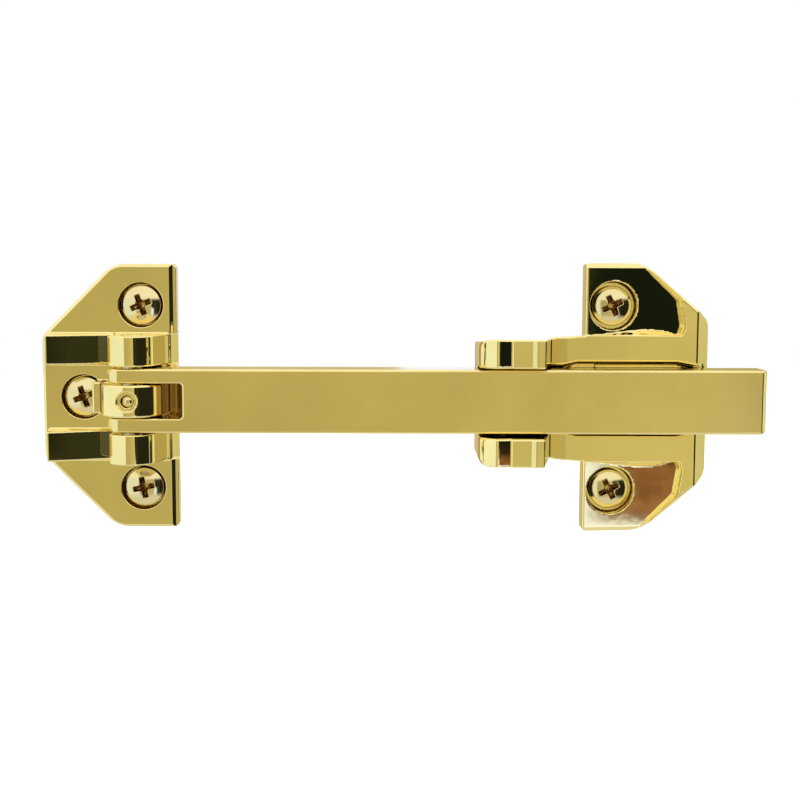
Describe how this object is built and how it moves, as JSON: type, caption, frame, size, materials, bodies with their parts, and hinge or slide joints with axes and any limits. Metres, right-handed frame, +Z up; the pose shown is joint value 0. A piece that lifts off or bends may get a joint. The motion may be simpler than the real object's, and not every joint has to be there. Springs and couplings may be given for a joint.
{
  "type": "swing bar door guard",
  "caption": "Swing-bar door guard: a bar hinged on one screwed plate lies between the claws of a catch plate and lets the door open only a little way.",
  "frame": {"origin": "on the hinge plate's flat back, right behind the hinge axis", "axes": "+X runs along the closed bar to its free end, +Z is up, and +Y points into the door from the mounting plane"},
  "size_m": [0.141, 0.0355, 0.053],
  "materials": {
    "polished_brass": "polished brass finish on a casting",
    "satin_brass": "fine brushed brass finish",
    "screw_brass": "brass-plated steel, lightly worn",
    "steel": "plain bright steel"
  },
  "bodies": {
    "frame_side": {"hinge_plate": "polished_brass", "friction_ball": "steel", "friction_spring": "steel", "friction_plug": "screw_brass", "hinge_screw_upper": "screw_brass", "hinge_screw_lower": "screw_brass", "hinge_screw_centre": "screw_brass"},
    "bar": {"swing_bar": "satin_brass", "hinge_pin": "steel"},
    "door_side": {"catch_plate": "polished_brass", "catch_stud": "steel", "catch_screw_upper": "screw_brass", "catch_screw_lower": "screw_brass", "catch_screw_centre": "screw_brass"}
  },
  "joints": [
    {"name": "bar_swing", "type": "hinge", "parent": "frame_side", "child": "bar", "pos_m": [0, -0.008, 0], "axis": [0, 0, -1], "range_deg": [0, 180]},
    {"name": "door_opening", "type": "slide", "parent": "frame_side", "child": "door_side", "axis": [1, 0, 0], "range_m": [0, 0.042]}
  ]
}
